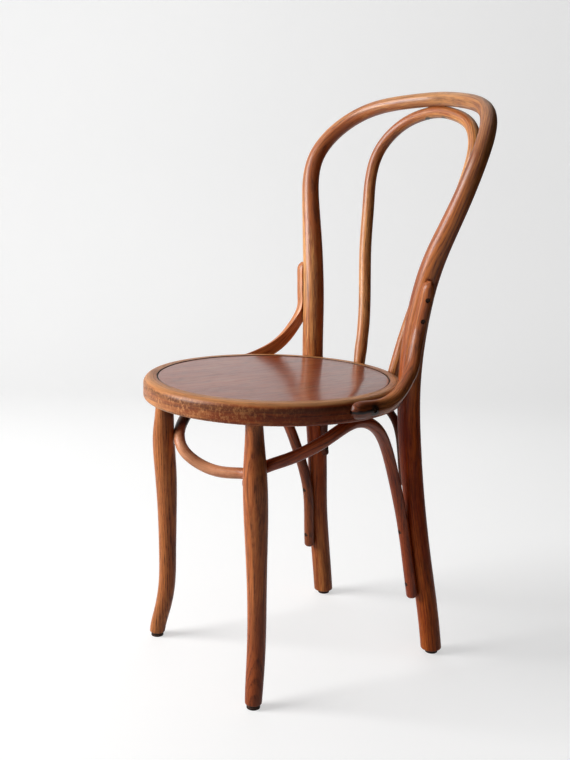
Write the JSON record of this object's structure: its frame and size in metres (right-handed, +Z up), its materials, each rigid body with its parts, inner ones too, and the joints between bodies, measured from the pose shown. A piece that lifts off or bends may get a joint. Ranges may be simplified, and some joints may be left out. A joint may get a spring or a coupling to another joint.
{
  "type": "bentwood bistro chair",
  "caption": "Bentwood cafe chair with a round seat, a hoop back with an inner hoop, half-round hip braces and a bent brace round its legs.",
  "frame": {"origin": "middle of the chair's bounding box at floor level", "axes": "+Z up, the chair's front towards -Y, +X to the right of someone who looks at its front"},
  "size_m": [0.4306, 0.534, 0.9117],
  "materials": {
    "back_wood": "worn varnish",
    "ring_wood": "worn varnish",
    "panel_wood": "polished varnish",
    "leg_wood": "worn varnish",
    "glide_rubber": "matt",
    "screw_steel": "aged dark"
  },
  "bodies": {
    "root": {"back_hoop": "back_wood", "front_leg_brace_screws": "screw_steel", "front_leg_left": "leg_wood", "front_leg_right": "leg_wood", "glide_front_left": "glide_rubber", "glide_front_right": "glide_rubber", "glide_nails": "screw_steel", "glide_rear_left": "glide_rubber", "glide_rear_right": "glide_rubber", "hip_brace_left": "back_wood", "hip_brace_right": "back_wood", "hip_post_screws": "screw_steel", "hip_ring_screws": "screw_steel", "inner_hoop": "back_wood", "inner_hoop_foot_screws": "screw_steel", "inner_hoop_top_screws": "screw_steel", "leg_brace": "leg_wood", "leg_brace_screws": "screw_steel", "leg_screws": "screw_steel", "post_screws": "screw_steel", "post_washers": "screw_steel", "rear_bow": "leg_wood", "rear_bow_ring_screw": "screw_steel", "rear_bow_screws": "screw_steel", "ring_brace_screws": "screw_steel", "seat_panel": "panel_wood", "seat_ring": "ring_wood"}
  },
  "joints": []
}
